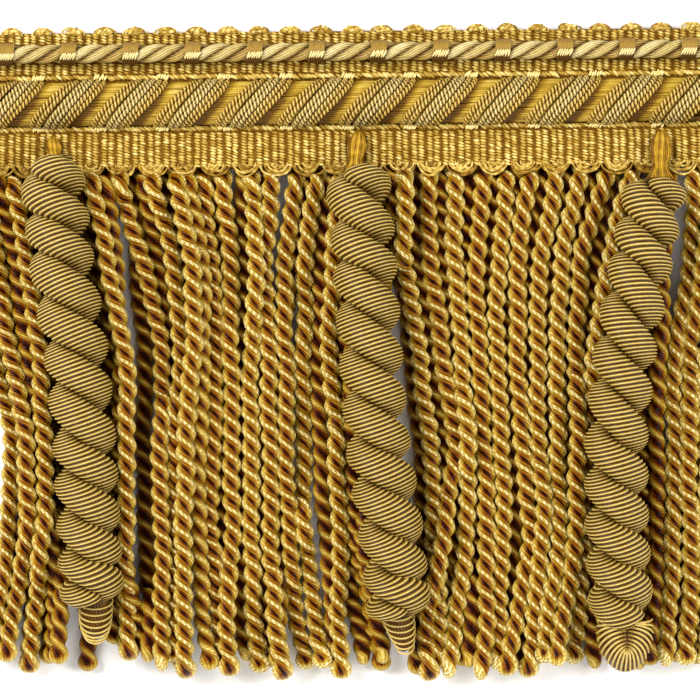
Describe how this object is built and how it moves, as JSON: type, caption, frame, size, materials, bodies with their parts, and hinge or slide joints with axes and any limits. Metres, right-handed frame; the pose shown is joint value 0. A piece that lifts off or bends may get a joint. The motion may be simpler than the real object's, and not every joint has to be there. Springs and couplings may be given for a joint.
{
  "type": "cord fringe trim",
  "caption": "Cut length of bullion fringe: woven heading with a couched cord and a bound satin roll, a skirt of looped twisted cords and thick twisted hangers, lying face up.",
  "frame": {"origin": "the middle of the trim's underside, on the surface that it lies on", "axes": "+X along the trim, +Y towards the heading's upper edge, +Z out of the face"},
  "size_m": [0.194, 0.164, 0.0222],
  "materials": {
    "ground_gimp": "woven gold gimp, ribbed, soft sheen",
    "couched_cord": "three-ply cord in cream and gold, soft sheen",
    "satin_roll": "padded satin yarn, pale gold, shiny",
    "bundle_cord": "fine twisted cords in gold and cream",
    "skirt_cord": "two-ply rayon cord, satin gold with a cream crest thread",
    "hanger_gimp": "wound gimp, gold thread over a dark core",
    "loop_yarn": "soft deep yellow yarn"
  },
  "bodies": {
    "root": {"heading_ground": "ground_gimp", "couched_cord": "couched_cord", "satin_roll": "satin_roll", "bundle_01": "bundle_cord", "bundle_02": "bundle_cord", "bundle_03": "bundle_cord", "bundle_04": "bundle_cord", "bundle_05": "bundle_cord", "bundle_06": "bundle_cord", "bundle_07": "bundle_cord", "bundle_08": "bundle_cord", "bundle_09": "bundle_cord", "bundle_10": "bundle_cord", "bundle_11": "bundle_cord", "bundle_12": "bundle_cord", "fringe_front": "skirt_cord", "fringe_back": "skirt_cord", "hanger_1": "hanger_gimp", "hanger_2": "hanger_gimp", "hanger_3": "hanger_gimp", "yarn_loop_1": "loop_yarn", "yarn_loop_2": "loop_yarn", "yarn_loop_3": "loop_yarn"}
  },
  "joints": []
}
